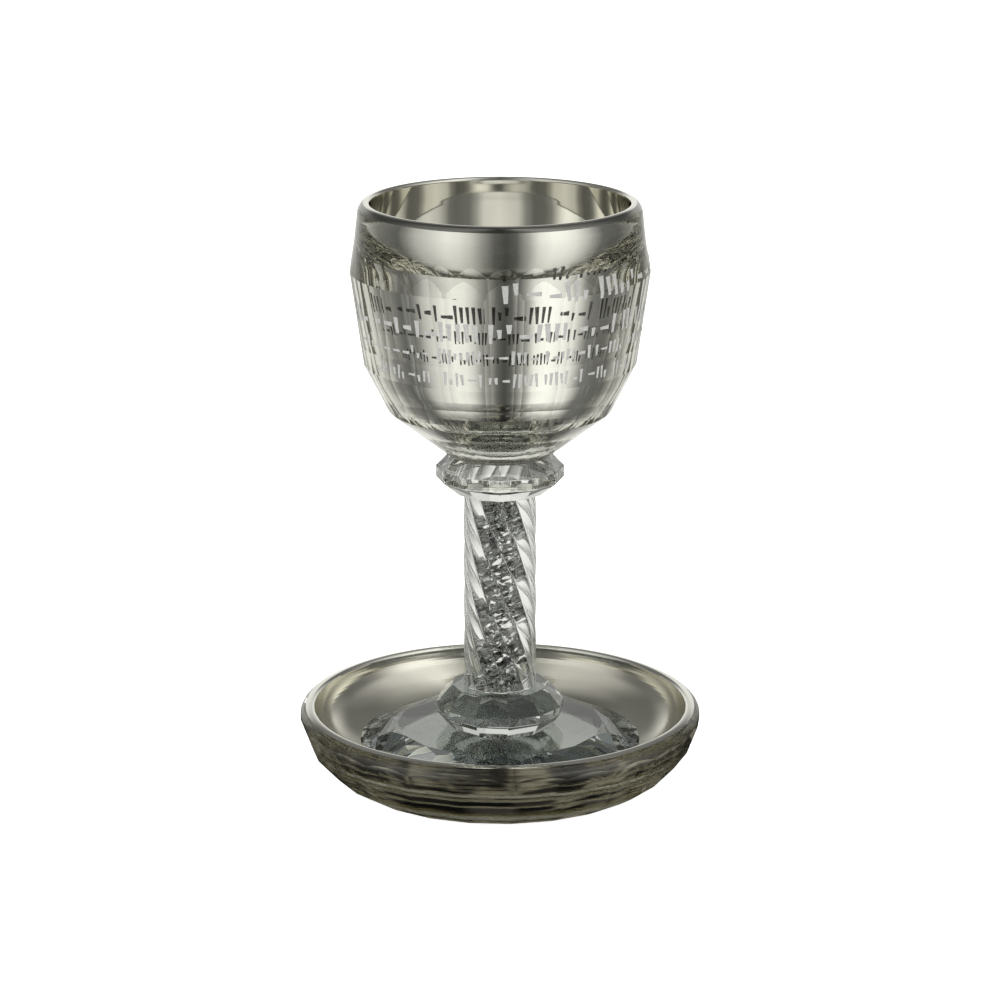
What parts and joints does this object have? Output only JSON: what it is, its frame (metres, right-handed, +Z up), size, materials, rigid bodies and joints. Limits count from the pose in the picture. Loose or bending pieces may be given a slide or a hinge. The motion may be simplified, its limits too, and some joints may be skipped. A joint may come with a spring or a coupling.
{
  "type": "kiddush cup with saucer",
  "caption": "Facet-cut crystal kiddush cup with a silvered hollow bowl, twisted chip-filled stem between knobs and a brilliant-cut foot, resting in a silvered faceted saucer.",
  "frame": {"origin": "middle of the saucer's flat underside, on the surface that it stands on", "axes": "+Z up along the stem towards the rim; +Y away from the viewer who reads the marks on the front; +X to that viewer's right"},
  "size_m": [0.11, 0.11, 0.16],
  "materials": {
    "silvered_saucer": "clear glass, silvered on the inside and round the lip, polished",
    "crystal": "clear cut crystal, polished facets",
    "crystal_stem": "clear twisted crystal with crushed mirror chips sealed in its middle",
    "silvered_bowl": "clear glass, silvered on the inside and round the lip, polished, with rows of frosted marks"
  },
  "bodies": {
    "root": {"saucer": "silvered_saucer", "foot": "crystal", "lower_knob": "crystal", "stem": "crystal_stem", "upper_knob": "crystal", "bowl": "silvered_bowl"}
  },
  "joints": []
}
